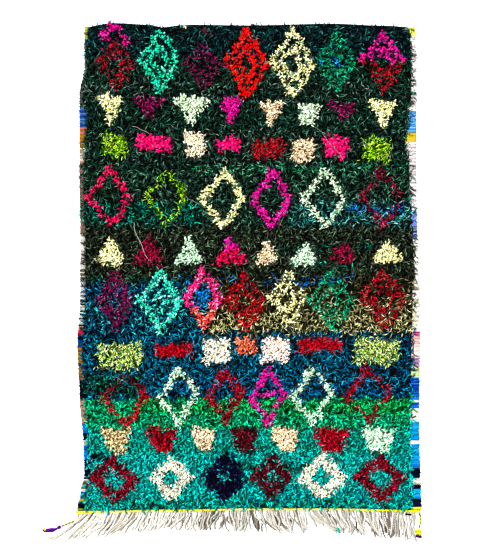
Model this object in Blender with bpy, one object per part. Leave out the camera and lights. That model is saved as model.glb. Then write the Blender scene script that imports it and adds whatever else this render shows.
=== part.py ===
"""A boucherouite rug: a hand-knotted rag and yarn pile rug with flat-woven selvedges, lying flat.

Metres, +Z up. X runs across the rug and Y along it, with the fringed end at -Y.
The origin is on the flat underside, at the middle of the rug.
"""

from collections import namedtuple
import math

import bmesh
import bpy

# Driving dimensions of the rug
RUG_WIDTH = 1.014
RUG_LENGTH = 1.460
PILE_HEIGHT = 0.024
SELVEDGE_HEIGHT = 0.006
PIECE_GAP = 0.0003

# Widths of the flat-woven selvedges, and of the pile's rounded shoulder inside them
LEFT_SELVEDGE = 0.013
RIGHT_SELVEDGE = 0.019
SHOULDER = 0.026
END_SHOULDER = 0.022

# The hollows and rises of the pile, which lies uneven over its rows of knots
PILE_WAVE = 0.0022
PILE_WAVE_ACROSS = 0.310
PILE_WAVE_ALONG = 0.270
FIELD_COLUMNS = 16
FIELD_ROWS = 24

# The twined yarn and the fringe
TWINING_DIAMETER = 0.0055
TWINING_POINTS = 61
FRINGE_STRANDS = 62
FRINGE_THICKNESS = 0.006
FRINGE_HEADING = 0.007
FRINGE_INSET = 0.010
STRAND_SHARE = 0.62
STRAND_TIP_SHARE = 0.40
STRAND_SECTIONS = 3
STRAND_UNEVENNESS = 0.09
STRAND_TURN = 2.4

# The yarn ends at the two fringed corners
TAIL_DIAMETER = 0.005
TAIL_FACETS = 2
TAIL_POINT_SPACING = 0.011

# A line of the rug's surface grid: a share of the span between two edges, a distance on from there
# and the surface's height
Line = namedtuple("Line", "share inset height")

# The outline of the two long sides: how far each lies beyond half the width
SideStation = namedtuple("SideStation", "at left_out right_out")
SIDES = (
    SideStation(at=-0.735, left_out=0.011, right_out=0.010),
    SideStation(at=-0.680, left_out=0.000, right_out=0.008),
    SideStation(at=-0.620, left_out=-0.012, right_out=0.006),
    SideStation(at=-0.520, left_out=-0.008, right_out=0.003),
    SideStation(at=-0.400, left_out=0.002, right_out=0.003),
    SideStation(at=-0.230, left_out=0.009, right_out=0.005),
    SideStation(at=-0.100, left_out=0.001, right_out=0.005),
    SideStation(at=0.060, left_out=0.000, right_out=-0.002),
    SideStation(at=0.320, left_out=0.003, right_out=-0.004),
    SideStation(at=0.510, left_out=0.003, right_out=-0.004),
    SideStation(at=0.610, left_out=-0.012, right_out=-0.003),
    SideStation(at=0.735, left_out=-0.012, right_out=-0.008),
)

# The outline of the two ends: how far each lies beyond half the length
EndStation = namedtuple("EndStation", "at fringed_out turned_out")
ENDS = (
    EndStation(at=-0.510, fringed_out=0.004, turned_out=-0.006),
    EndStation(at=-0.410, fringed_out=0.003, turned_out=0.008),
    EndStation(at=-0.300, fringed_out=0.001, turned_out=0.003),
    EndStation(at=-0.265, fringed_out=0.000, turned_out=-0.005),
    EndStation(at=-0.190, fringed_out=-0.001, turned_out=0.003),
    EndStation(at=0.000, fringed_out=-0.004, turned_out=0.001),
    EndStation(at=0.250, fringed_out=-0.004, turned_out=0.006),
    EndStation(at=0.410, fringed_out=-0.001, turned_out=0.000),
    EndStation(at=0.510, fringed_out=0.002, turned_out=-0.006),
)

# The fringe: how far a strand lies past its heading, and how far it leans to +X at its tip
FringeStation = namedtuple("FringeStation", "at reach lean")
FRINGE = (
    FringeStation(at=-0.500, reach=0.080, lean=-0.072),
    FringeStation(at=-0.450, reach=0.062, lean=-0.055),
    FringeStation(at=-0.400, reach=0.054, lean=-0.048),
    FringeStation(at=-0.330, reach=0.044, lean=-0.042),
    FringeStation(at=-0.270, reach=0.044, lean=-0.030),
    FringeStation(at=-0.235, reach=0.032, lean=-0.022),
    FringeStation(at=-0.195, reach=0.046, lean=-0.010),
    FringeStation(at=-0.110, reach=0.040, lean=-0.024),
    FringeStation(at=-0.070, reach=0.044, lean=0.002),
    FringeStation(at=0.000, reach=0.048, lean=0.010),
    FringeStation(at=0.150, reach=0.050, lean=0.026),
    FringeStation(at=0.190, reach=0.030, lean=0.022),
    FringeStation(at=0.215, reach=0.052, lean=0.042),
    FringeStation(at=0.300, reach=0.056, lean=0.028),
    FringeStation(at=0.400, reach=0.064, lean=0.014),
    FringeStation(at=0.500, reach=0.072, lean=0.002),
)

# How the rug's surface rises in from each kind of edge to the pile's crown
RiseStep = namedtuple("RiseStep", "inset height")
LEFT_RISE = (
    RiseStep(inset=0.000, height=SELVEDGE_HEIGHT),
    RiseStep(inset=LEFT_SELVEDGE, height=SELVEDGE_HEIGHT),
    RiseStep(inset=LEFT_SELVEDGE + 0.08 * SHOULDER, height=0.46 * PILE_HEIGHT),
    RiseStep(inset=LEFT_SELVEDGE + 0.33 * SHOULDER, height=0.70 * PILE_HEIGHT),
    RiseStep(inset=LEFT_SELVEDGE + 0.66 * SHOULDER, height=0.90 * PILE_HEIGHT),
)
RIGHT_RISE = (
    RiseStep(inset=0.000, height=SELVEDGE_HEIGHT),
    RiseStep(inset=RIGHT_SELVEDGE, height=SELVEDGE_HEIGHT),
    RiseStep(inset=RIGHT_SELVEDGE + 0.08 * SHOULDER, height=0.46 * PILE_HEIGHT),
    RiseStep(inset=RIGHT_SELVEDGE + 0.33 * SHOULDER, height=0.70 * PILE_HEIGHT),
    RiseStep(inset=RIGHT_SELVEDGE + 0.66 * SHOULDER, height=0.90 * PILE_HEIGHT),
)
END_RISE = (
    RiseStep(inset=0.000, height=0.62 * PILE_HEIGHT),
    RiseStep(inset=0.35 * END_SHOULDER, height=0.85 * PILE_HEIGHT),
)

# The yarn ends, as the points each is laid through, and the radius of each tied end along its length
LEFT_TAIL_ROUTE = (
    (-0.5145, -0.7440),
    (-0.5160, -0.7540),
    (-0.5240, -0.7630),
    (-0.5450, -0.7720),
    (-0.5670, -0.7805),
)
LEFT_RAG_ROUTE = (
    (-0.5690, -0.7813),
    (-0.5830, -0.7880),
    (-0.6020, -0.7925),
    (-0.6240, -0.7900),
)
RIGHT_TAIL_ROUTE = (
    (0.5125, -0.7420),
    (0.5170, -0.7490),
    (0.5180, -0.7600),
    (0.5155, -0.7760),
    (0.5120, -0.7890),
)
RIGHT_KNOT_ROUTE = (
    (0.5112, -0.7915),
    (0.5100, -0.8000),
    (0.5120, -0.8070),
    (0.5190, -0.8115),
)
LEFT_RAG_RADII = (0.0022, 0.0040, 0.0046, 0.0042, 0.0032, 0.0022)
RIGHT_KNOT_RADII = (0.0028, 0.0060, 0.0062, 0.0034, 0.0036, 0.0032)


def clear_objects():
    for thing in list(bpy.data.objects):
        bpy.data.objects.remove(thing, do_unlink=True)


def textile(name, colour, roughness):
    """A matt yarn finish."""
    finish = bpy.data.materials.new(name)
    finish.use_nodes = True
    shader = finish.node_tree.nodes["Principled BSDF"]
    shader.inputs["Base Color"].default_value = (*colour, 1.0)
    shader.inputs["Roughness"].default_value = roughness
    shader.inputs["Metallic"].default_value = 0.0
    return finish


def read(stations, at, column):
    """A table's named column at a place, eased between the stations on either side of it."""
    if at <= stations[0].at:
        return getattr(stations[0], column)
    for low, high in zip(stations, stations[1:]):
        if at <= high.at:
            share = (at - low.at) / (high.at - low.at)
            eased = share * share * (3 - 2 * share)
            return getattr(low, column) * (1 - eased) + getattr(high, column) * eased
    return getattr(stations[-1], column)


def left_side(along):
    return -RUG_WIDTH / 2 - read(SIDES, along, "left_out")


def right_side(along):
    return RUG_WIDTH / 2 + read(SIDES, along, "right_out")


def fringed_end(across):
    return -RUG_LENGTH / 2 - read(ENDS, across, "fringed_out")


def turned_end(across):
    return RUG_LENGTH / 2 + read(ENDS, across, "turned_out")


def object_from(bm, name, finish):
    """A named object from a finished bmesh, with its faces turned outwards."""
    bmesh.ops.recalc_face_normals(bm, faces=bm.faces[:])
    mesh = bpy.data.meshes.new(name)
    bm.to_mesh(mesh)
    bm.free()
    mesh.materials.append(finish)
    made = bpy.data.objects.new(name, mesh)
    bpy.context.scene.collection.objects.link(made)
    return made


def grid_lines(near_rise, near_margin, far_rise, far_margin, count):
    """Lines from one edge to the other: a share of the span, a distance on from there, and a height."""
    near = [Line(0.0, step.inset, step.height) for step in near_rise]
    far = [Line(1.0, -step.inset, step.height) for step in reversed(far_rise)]
    field = []
    for number in range(count + 1):
        share = number / count
        field.append(Line(share, near_margin * (1 - share) - far_margin * share, PILE_HEIGHT))
    return near + field + far


def pile_wave(x, y):
    """The uneven lie of the pile."""
    broad = math.sin(math.tau * x / PILE_WAVE_ACROSS + 1.1) * math.cos(math.tau * y / PILE_WAVE_ALONG)
    small = math.sin(math.tau * (x + 0.6 * y) / (0.43 * PILE_WAVE_ALONG) + 0.4)
    return PILE_WAVE * (0.6 * broad + 0.4 * small)


def surface_point(column, row):
    """Where a line along the rug meets a line across it, on the rug's upper surface."""
    middle_y = (row.share - 0.5) * RUG_LENGTH + row.inset
    left = left_side(middle_y)
    x = left + (right_side(middle_y) - left) * column.share + column.inset
    fringed = fringed_end(x)
    y = fringed + (turned_end(x) - fringed) * row.share + row.inset
    height = min(column.height, row.height)
    if height == PILE_HEIGHT:
        height += pile_wave(x, y)
    return x, y, height


def woven_rug(finish):
    """The ground weave, its selvedges and the pile, as one sheet with a flat underside."""
    left_margin = LEFT_SELVEDGE + SHOULDER
    right_margin = RIGHT_SELVEDGE + SHOULDER
    columns = grid_lines(LEFT_RISE, left_margin, RIGHT_RISE, right_margin, FIELD_COLUMNS)
    rows = grid_lines(END_RISE, END_SHOULDER, END_RISE, END_SHOULDER, FIELD_ROWS)
    last_column = len(columns) - 1
    last_row = len(rows) - 1
    bm = bmesh.new()
    bmesh.ops.create_grid(bm, x_segments=last_column, y_segments=last_row, size=1.0)
    for vert in bm.verts:
        column = columns[round((vert.co.x + 1) / 2 * last_column)]
        row = rows[round((vert.co.y + 1) / 2 * last_row)]
        vert.co = surface_point(column, row)
    rim = [edge for edge in bm.edges if edge.is_boundary]
    skirt = bmesh.ops.extrude_edge_only(bm, edges=rim)["geom"]
    for vert in (part for part in skirt if isinstance(part, bmesh.types.BMVert)):
        vert.co.z = 0.0
    floor_loop = [part for part in skirt if isinstance(part, bmesh.types.BMEdge) and part.is_boundary]
    bmesh.ops.edgeloop_fill(bm, edges=floor_loop)
    return object_from(bm, "woven_rug", finish)


def smooth_route(corners, spacing, height):
    """Points every spacing or so along a smooth curve through a route's own points."""
    ends = [corners[0], *corners, corners[-1]]
    route = []
    for first, start, stop, last in zip(ends, ends[1:], ends[2:], ends[3:]):
        steps = max(1, round(math.dist(start, stop) / spacing))
        for step in range(steps):
            t = step / steps
            route.append(
                tuple(
                    0.5 * (2 * b + (c - a) * t + (2 * a - 5 * b + 4 * c - d) * t * t
                           + (3 * b - a - 3 * c + d) * t ** 3)
                    for a, b, c, d in zip(first, start, stop, last)
                )
            )
    route.append(corners[-1])
    return [(x, y, height) for x, y in route]


def yarn(name, route, radii, finish):
    """A tube along a route, whose radius follows the given ones from end to end."""
    curve = bpy.data.curves.new(name, "CURVE")
    curve.dimensions = "3D"
    curve.bevel_depth = max(radii)
    curve.bevel_resolution = TAIL_FACETS
    curve.use_fill_caps = True
    spline = curve.splines.new("POLY")
    spline.points.add(len(route) - 1)
    for number, (point, place) in enumerate(zip(spline.points, route)):
        point.co = (*place, 1.0)
        reached = number / (len(route) - 1) * (len(radii) - 1)
        low = min(int(reached), len(radii) - 2)
        point.radius = (radii[low] + (radii[low + 1] - radii[low]) * (reached - low)) / max(radii)
    curve.materials.append(finish)
    made = bpy.data.objects.new(name, curve)
    bpy.context.scene.collection.objects.link(made)
    return made


def end_twining(finish):
    """The yarn twined over the warps, which follows the fringed end from side to side."""
    radius = TWINING_DIAMETER / 2
    first = left_side(-RUG_LENGTH / 2) + radius
    last = right_side(-RUG_LENGTH / 2) - radius
    route = []
    for number in range(TWINING_POINTS):
        x = first + (last - first) * number / (TWINING_POINTS - 1)
        route.append((x, fringed_end(x) - PIECE_GAP * 2 - radius, radius))
    return yarn("end_twining", route, (radius, radius), finish)


def strand_bend(share):
    """How much of a strand's lean it has at a share of its length, as it curves away from its heading."""
    return share ** 1.3


def warp_fringe(finish):
    """The free warp ends, as one comb: a heading along the twining with the strands drawn out of it."""
    back = PIECE_GAP * 4 + TWINING_DIAMETER
    first = left_side(-RUG_LENGTH / 2) + FRINGE_INSET
    last = right_side(-RUG_LENGTH / 2) - FRINGE_INSET
    pitch = (last - first) / FRINGE_STRANDS
    bm = bmesh.new()

    def heading_pair(x):
        y = fringed_end(x) - back
        return bm.verts.new((x, y, 0.0)), bm.verts.new((x, y - FRINGE_HEADING, 0.0))

    pairs = []
    for strand in range(FRINGE_STRANDS):
        middle = first + (strand + 0.5) * pitch
        pairs.append(heading_pair(middle - pitch * STRAND_SHARE / 2))
        pairs.append(heading_pair(middle + pitch * STRAND_SHARE / 2))
    for (back_low, front_low), (back_high, front_high) in zip(pairs, pairs[1:]):
        bm.faces.new((back_low, front_low, front_high, back_high))
    for strand in range(FRINGE_STRANDS):
        row = (pairs[2 * strand][1], pairs[2 * strand + 1][1])
        middle = (row[0].co + row[1].co) / 2
        uneven = 1 + STRAND_UNEVENNESS * math.sin(STRAND_TURN * strand)
        reach = read(FRINGE, middle.x, "reach") * uneven
        lean = read(FRINGE, middle.x, "lean")
        for section in range(1, STRAND_SECTIONS + 1):
            share = section / STRAND_SECTIONS
            width = pitch * (STRAND_SHARE + (STRAND_TIP_SHARE - STRAND_SHARE) * share)
            x = middle.x + lean * strand_bend(share)
            y = middle.y - reach * share
            following = (bm.verts.new((x - width / 2, y, 0.0)), bm.verts.new((x + width / 2, y, 0.0)))
            bm.faces.new((row[0], following[0], following[1], row[1]))
            row = following
    sheet = bmesh.ops.extrude_face_region(bm, geom=bm.faces[:], use_keep_orig=True)["geom"]
    for vert in (part for part in sheet if isinstance(part, bmesh.types.BMVert)):
        vert.co.z = FRINGE_THICKNESS
    return object_from(bm, "warp_fringe", finish)


def tied_end(name, route, radii, finish):
    """A rag or knot on the end of a tail, lying on the floor."""
    return yarn(name, smooth_route(route, TAIL_POINT_SPACING / 2, max(radii)), radii, finish)


def tail(name, route, finish):
    radius = TAIL_DIAMETER / 2
    return yarn(name, smooth_route(route, TAIL_POINT_SPACING, radius), (radius, radius), finish)


clear_objects()
pile_finish = textile("wool and rag pile", (0.020, 0.130, 0.125), 0.90)
twining_finish = textile("yellow twined yarn", (0.720, 0.610, 0.020), 0.85)
fringe_finish = textile("undyed warp yarn", (0.730, 0.690, 0.610), 0.92)
tail_finish = textile("two-ply tail yarn", (0.450, 0.480, 0.060), 0.85)
rag_finish = textile("purple rag", (0.110, 0.010, 0.180), 0.80)
woven_rug(pile_finish)
end_twining(twining_finish)
warp_fringe(fringe_finish)
tail("left_tail", LEFT_TAIL_ROUTE, tail_finish)
tied_end("left_tail_rag", LEFT_RAG_ROUTE, LEFT_RAG_RADII, rag_finish)
tail("right_tail", RIGHT_TAIL_ROUTE, tail_finish)
tied_end("right_tail_knot", RIGHT_KNOT_ROUTE, RIGHT_KNOT_RADII, tail_finish)
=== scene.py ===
import math
from collections import namedtuple

import bpy
import numpy as np
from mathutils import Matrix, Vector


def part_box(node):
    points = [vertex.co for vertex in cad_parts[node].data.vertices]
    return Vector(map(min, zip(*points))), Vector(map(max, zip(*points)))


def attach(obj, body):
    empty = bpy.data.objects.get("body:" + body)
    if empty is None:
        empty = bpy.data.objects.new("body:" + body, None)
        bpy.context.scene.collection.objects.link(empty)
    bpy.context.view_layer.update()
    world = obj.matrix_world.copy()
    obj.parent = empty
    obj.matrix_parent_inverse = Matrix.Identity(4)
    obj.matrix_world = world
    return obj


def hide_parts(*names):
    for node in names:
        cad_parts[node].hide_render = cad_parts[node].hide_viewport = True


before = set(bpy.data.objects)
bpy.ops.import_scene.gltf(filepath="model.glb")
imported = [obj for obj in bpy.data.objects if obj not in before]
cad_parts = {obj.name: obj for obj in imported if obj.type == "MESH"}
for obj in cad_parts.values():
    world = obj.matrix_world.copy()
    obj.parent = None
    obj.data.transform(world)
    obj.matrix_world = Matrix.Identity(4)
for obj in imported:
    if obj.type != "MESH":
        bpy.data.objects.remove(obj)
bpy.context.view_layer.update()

bpy.ops.object.select_all(action="DESELECT")


# ---- Camera: straight above the rug, a little towards the fringe, as rugs are pictured for sale.
# The whole rug with its fringe and tails lies inside the frame, with a margin of bare floor.
VIEW_HEIGHT = 4.0
VIEW_SPAN = 1.656  # how much of the rug's length the frame takes in, at the top of the pile
VIEW_MIDDLE = (0.003, -0.0255)
PILE_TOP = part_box("woven_rug")[1].z
bpy.ops.object.camera_add(location=(*VIEW_MIDDLE, VIEW_HEIGHT), rotation=(0, 0, 0))
camera = bpy.context.object
camera.name = "overhead_camera"
camera.data.lens = camera.data.sensor_width * (VIEW_HEIGHT - PILE_TOP) / VIEW_SPAN
bpy.context.scene.camera = camera


# ---- Corner tails: the two ends of the yarn that is twined along the fringed edge. Each is a soft
# two-ply wool yarn, left hanging at its corner and lying on the floor beside the fringe.
TAIL_DIAMETER = 0.005
TAIL_LAY = 0.011       # the length of one turn of the two plies
TAIL_POINTS = 64
TAIL_HEIGHT = TAIL_DIAMETER * 0.57
PLY_RADIUS = TAIL_DIAMETER * 0.32
PLY_OFFSET = TAIL_DIAMETER * 0.25
ROUTE_SPACING = 0.004
CORNER_DYE = "#30142c"
LEFT_TAIL_ROUTE = (
    (-0.5145, -0.7440), (-0.5160, -0.7540), (-0.5240, -0.7630), (-0.5450, -0.7720), (-0.5670, -0.7805),
)
RIGHT_TAIL_ROUTE = (
    (0.5125, -0.7420), (0.5170, -0.7490), (0.5180, -0.7600), (0.5155, -0.7760), (0.5120, -0.7890),
)


def linear(hex_colour):
    """An sRGB hex colour as linear red, green and blue."""
    parts = [int(hex_colour[i:i + 2], 16) / 255 for i in (1, 3, 5)]
    return [p / 12.92 if p <= 0.04045 else ((p + 0.055) / 1.055) ** 2.4 for p in parts]


def add_node(tree, kind, settings=None, inputs=None):
    """A node of this kind, with its settings, and its inputs set to values or linked to sockets."""
    node = tree.nodes.new(kind)
    for key, value in (settings or {}).items():
        setattr(node, key, value)
    for key, value in (inputs or {}).items():
        if isinstance(value, bpy.types.NodeSocket):
            tree.links.new(value, node.inputs[key])
        else:
            node.inputs[key].default_value = value
    return node


def model_strand(name, sides, rings, tip):
    """One length of yarn from z = 0 to 1 with a radius of 1, a flat side up, extruded ring by ring, its
    last ring drawn in."""
    bpy.ops.mesh.primitive_circle_add(vertices=sides, radius=1.0, fill_type="NGON")
    strand = bpy.context.object
    strand.name = name
    bpy.ops.object.mode_set(mode="EDIT")
    bpy.ops.mesh.select_all(action="SELECT")
    bpy.ops.transform.rotate(value=math.pi / sides, orient_axis="Z", center_override=(0, 0, 0))
    for ring in range(rings - 1):
        bpy.ops.mesh.extrude_region_move(TRANSFORM_OT_translate={"value": (0, 0, 1 / (rings - 1))})
    bpy.ops.transform.resize(value=(tip, tip, 1))
    bpy.ops.mesh.select_all(action="SELECT")
    bpy.ops.mesh.normals_make_consistent(inside=False)
    bpy.ops.mesh.quads_convert_to_tris()
    bpy.ops.object.mode_set(mode="OBJECT")
    mesh = strand.data
    places = np.array([v.co for v in mesh.vertices])
    # Blender's order of the triangles changes from run to run, so they get one of their own.
    triangles = [np.roll(p.vertices, -np.argmin(p.vertices)) for p in mesh.polygons]
    triangles = np.array(sorted(map(tuple, triangles)))
    bpy.data.objects.remove(strand)
    turn = np.arctan2(places[:, 1], places[:, 0]) / math.tau % 1
    around = turn[triangles]
    around += (around.max(1, keepdims=True) - around > 0.5) * 1.0
    return {
        "places": places, "triangles": triangles, "around": around,
        "ring": np.rint(places[:, 2] * (rings - 1)).astype(int), "rings": rings,
    }


def lay_strands(name, strand, material, paths, dyes, widths, thicknesses=None, sideways=None, roll=None):
    """Copies of a modelled strand along many paths, joined in one mesh.

    paths is (copies, rings, 3); dyes is (copies, 3) or (copies, rings, 3), linear; widths and
    thicknesses are half sizes, as (copies, rings), and the same if only one is given. The mesh
    carries the dye with the share of the strand's length as its alpha, a strand map in metres that
    starts elsewhere on each copy, and a bake map with a patch for each copy.
    """
    paths = np.asarray(paths, float)
    thicknesses = widths if thicknesses is None else thicknesses
    copies, rings = paths.shape[:2]
    steps = np.gradient(paths, axis=1)
    tangent = steps / np.maximum(np.linalg.norm(steps, axis=2, keepdims=True), 1e-9)
    if sideways is None:
        sideways = np.cross(tangent[:, 0], [0.0, 0.0, 1.0]) + [1e-6, 0, 0]
    side = sideways[:, None, :] - (tangent * sideways[:, None, :]).sum(2, keepdims=True) * tangent
    side /= np.maximum(np.linalg.norm(side, axis=2, keepdims=True), 1e-9)
    up = np.cross(tangent, side)
    if roll is not None:
        cos, sin = np.cos(roll)[..., None], np.sin(roll)[..., None]
        side, up = side * cos + up * sin, up * cos - side * sin
    ring = strand["ring"]
    local_x, local_y = strand["places"][:, 0], strand["places"][:, 1]
    places = (
        paths[:, ring]
        + side[:, ring] * (local_x * widths[:, ring])[..., None]
        + up[:, ring] * (local_y * thicknesses[:, ring])[..., None]
    )
    each = len(ring)
    triangles = strand["triangles"][None] + (np.arange(copies) * each)[:, None, None]
    mesh = bpy.data.meshes.new(name)
    mesh.from_pydata(places.reshape(-1, 3), [], triangles.reshape(-1, 3))
    mesh.polygons.foreach_set("use_smooth", np.ones(len(mesh.polygons), bool))
    dyes = np.asarray(dyes, float)
    if dyes.ndim == 2:
        dyes = np.repeat(dyes[:, None], rings, 1)
    share = ring / (rings - 1)
    shares = np.broadcast_to(share[None, :, None], (copies, each, 1))
    colours = np.concatenate([dyes[:, ring], shares], 2)
    mesh.color_attributes.new("dye", "FLOAT_COLOR", "POINT")
    mesh.color_attributes["dye"].data.foreach_set("color", colours.astype(np.float32).ravel())
    lengths = np.linalg.norm(np.diff(paths, axis=1), axis=2).sum(1)
    corner_share = share[strand["triangles"]]
    girth = math.tau * widths.mean(1)
    start = np.arange(copies) * 0.37 % 1
    strand_map = np.stack([
        strand["around"][None] * girth[:, None, None],
        corner_share[None] * lengths[:, None, None] + start[:, None, None],
    ], -1)
    across, margin = math.ceil(math.sqrt(copies)), 0.08
    patch = np.stack([np.arange(copies) % across, np.arange(copies) // across], 1)[:, None, None, :]
    inside = np.stack([strand["around"] / strand["around"].max(), corner_share], -1)[None]
    bake_map = (patch + inside * (1 - 2 * margin) + margin) / across
    mesh.uv_layers.new(name="OFBake", do_init=False)
    mesh.uv_layers.new(name="strand", do_init=False)
    mesh.uv_layers["OFBake"].uv.foreach_set("vector", bake_map.astype(np.float32).ravel())
    mesh.uv_layers["strand"].uv.foreach_set("vector", strand_map.astype(np.float32).ravel())
    mesh.validate()
    mesh.materials.append(material)
    piece = bpy.data.objects.new(name, mesh)
    bpy.context.scene.collection.objects.link(piece)
    return piece


def smooth_route(corners, spacing, height):
    """Points every spacing or so along a smooth curve through a route's own points."""
    ends = [corners[0], *corners, corners[-1]]
    route = []
    for first, start, stop, last in zip(ends, ends[1:], ends[2:], ends[3:]):
        steps = max(1, round(math.dist(start, stop) / spacing))
        for step in range(steps):
            t = step / steps
            route.append([
                0.5 * (2 * b + (c - a) * t + (2 * a - 5 * b + 4 * c - d) * t * t
                       + (3 * b - a - 3 * c + d) * t ** 3)
                for a, b, c, d in zip(first, start, stop, last)
            ])
    route.append(list(corners[-1]))
    return np.array([(x, y, height) for x, y in route])


def even_route(route, count):
    """A route's line again, as this many points evenly spaced along it."""
    reached = np.concatenate([[0], np.linalg.norm(np.diff(route, axis=0), axis=1).cumsum()])
    at = np.linspace(0, reached[-1], count)
    return np.stack([np.interp(at, reached, route[:, k]) for k in range(3)], 1), reached[-1]


def plied(route, plies, radius, lay, points_each_turn=7):
    """The centre lines of plies twisted round a route, with lay metres to a turn."""
    length = np.linalg.norm(np.diff(route, axis=0), axis=1).sum()
    count = max(8, int(length / lay * points_each_turn))
    line, length = even_route(route, count)
    step = np.gradient(line, axis=0)
    ahead = step / np.linalg.norm(step, axis=1, keepdims=True)
    side = np.cross(ahead, [0, 0, 1.0])
    side /= np.linalg.norm(side, axis=1, keepdims=True)
    up = np.cross(side, ahead)
    turns = np.linspace(0, length / lay * math.tau, count)
    return np.array([
        line + radius * (np.cos(turns + phase)[:, None] * side + np.sin(turns + phase)[:, None] * up)
        for phase in np.arange(plies) * math.tau / plies
    ])


def fibre_shader(tree, dye, shade, ribs, relief, roughness, gloss):
    """Gives a matt fibre's shader its dye, as dark as it is shaded, and its ribs as a shallow relief."""
    shader = tree.nodes["Principled BSDF"]
    coloured = add_node(tree, "ShaderNodeVectorMath", {"operation": "SCALE"}, {
        "Vector": dye.outputs["Color"], "Scale": shade,
    })
    strength, depth = relief
    bump = add_node(tree, "ShaderNodeBump", {}, {"Strength": strength, "Distance": depth, "Height": ribs})
    tree.links.new(coloured.outputs["Vector"], shader.inputs["Base Color"])
    tree.links.new(bump.outputs["Normal"], shader.inputs["Normal"])
    shader.inputs["Roughness"].default_value = roughness
    shader.inputs["Specular IOR Level"].default_value = gloss


def yarn_material(name, painted_root_shade, gloss, roughness, ply=0.004, painted_groove_shade=0.78):
    """Dyed yarn: painted shade darkens the dye towards the root, where little light reaches, and the fibre's
    twist shows as fine slanting ribs, about 1.3 plies apart, with painted shade in their grooves. It is matt,
    with hardly a trace of gloss."""
    material = bpy.data.materials.new(name)
    material.use_nodes = True
    tree = material.node_tree
    dye = add_node(tree, "ShaderNodeAttribute", {"attribute_name": "dye"})
    strand = add_node(tree, "ShaderNodeUVMap", {"uv_map": "strand"})
    ribs = add_node(tree, "ShaderNodeTexWave", {"bands_direction": "DIAGONAL"}, {
        "Vector": strand.outputs["UV"], "Scale": 0.5 / ply, "Distortion": 1.5, "Detail": 1.0,
    })
    # Painted shade: the dye darkens towards the root, down to painted_root_shade at the knot, where little
    # light reaches.
    depth = add_node(tree, "ShaderNodeMapRange", {}, {
        "Value": dye.outputs["Alpha"], "From Min": 0.0, "From Max": 0.5, "To Min": painted_root_shade, "To Max": 1.0,
    })
    # Painted shade in the grooves of the ribs, down to painted_groove_shade, and a slight painted highlight
    # on their ridges.
    rib_shade = add_node(tree, "ShaderNodeMapRange", {}, {
        "Value": ribs.outputs["Fac"], "To Min": painted_groove_shade, "To Max": 1.08,
    })
    shade = add_node(tree, "ShaderNodeMath", {"operation": "MULTIPLY"}, {
        0: depth.outputs["Result"], 1: rib_shade.outputs["Result"],
    })
    relief = (0.35, 0.0006)
    fibre_shader(tree, dye, shade.outputs["Value"], ribs.outputs["Fac"], relief, roughness, gloss)
    return material


tail_wool = yarn_material("two_ply_wool_twisted", 1.0, 0.1, 0.85)
PLY = model_strand("ply", 6, TAIL_POINTS, 0.6)


def two_ply_tail(name, route, first_dye, second_dye, dark_points):
    """A loose tail along a route, its first points dark where it leaves the corner."""
    line = smooth_route(route, ROUTE_SPACING, TAIL_HEIGHT)
    plies = plied(line, 2, PLY_OFFSET, TAIL_LAY)
    plies = np.array([even_route(p, TAIL_POINTS)[0] for p in plies])
    radii = np.full(plies.shape[:2], PLY_RADIUS)
    dyes = np.array([[linear(first_dye)] * TAIL_POINTS, [linear(second_dye)] * TAIL_POINTS])
    dyes[:, :dark_points] = linear(CORNER_DYE)
    piece = lay_strands(name, PLY, tail_wool, plies, dyes, radii)
    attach(piece, "root")
    length = even_route(line, 3)[1]
    return piece


left_tail = two_ply_tail("left_tail_yarn", LEFT_TAIL_ROUTE, "#c8be30", "#3a3620", 0)
right_tail = two_ply_tail("right_tail_yarn", RIGHT_TAIL_ROUTE, "#bcc41c", "#5c5a28", 10)
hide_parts("left_tail")
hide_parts("right_tail")


# ---- Rag on the left tail: a strip torn from a thin purple cloth and knotted on the yarn's end, its
# own end twisted to a point, with a shred of yellow caught in it.
LEFT_RAG_ROUTE = (
    (-0.5690, -0.7813), (-0.5830, -0.7880), (-0.6020, -0.7925), (-0.6240, -0.7900),
)
RAG_HEIGHT = 0.0046
RAG_POINTS = 24
FOLD_OFFSET = (0, 0.0016, 0.0006)  # from the rag's middle line to each of its two folds
FOLD_WIDTHS = (0.72, 0.60)         # as shares of the swell
FOLD_THICKNESSES = (0.32, 0.36)
YELLOW_SHRED = slice(19, 22)
rag_cloth = yarn_material("torn_cotton_rag", 1.0, 0.0, 0.9, ply=0.007)
rag_line = even_route(smooth_route(LEFT_RAG_ROUTE, ROUTE_SPACING, RAG_HEIGHT), RAG_POINTS)[0]
RAG = model_strand("rag_fold", 7, RAG_POINTS, 0.35)
along_rag = np.linspace(0, 1, RAG_POINTS)
rag_swell = np.interp(
    along_rag, [0, 0.08, 0.2, 0.4, 0.62, 0.8, 0.93, 1],
    [0.0046, 0.0052, 0.0034, 0.0052, 0.0084, 0.0078, 0.0050, 0.0022],
)
rag_folds = np.array([
    rag_line + np.array(FOLD_OFFSET) * side + np.stack([
        0 * along_rag, 0.0011 * np.sin(along_rag * 14 + side), 0.0007 * np.cos(along_rag * 14 + side),
    ], 1)
    for side in (-1, 1)
])
rag_dyes = np.array([[linear("#4a0c6c")] * RAG_POINTS, [linear("#5e1484")] * RAG_POINTS])
rag_dyes[1, YELLOW_SHRED] = linear("#c4c010")
left_tail_rag = lay_strands(
    "left_tail_torn_rag", RAG, rag_cloth, rag_folds, rag_dyes,
    np.outer(FOLD_WIDTHS, rag_swell), np.outer(FOLD_THICKNESSES, rag_swell),
)
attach(left_tail_rag, "root")
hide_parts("left_tail_rag")


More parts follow.
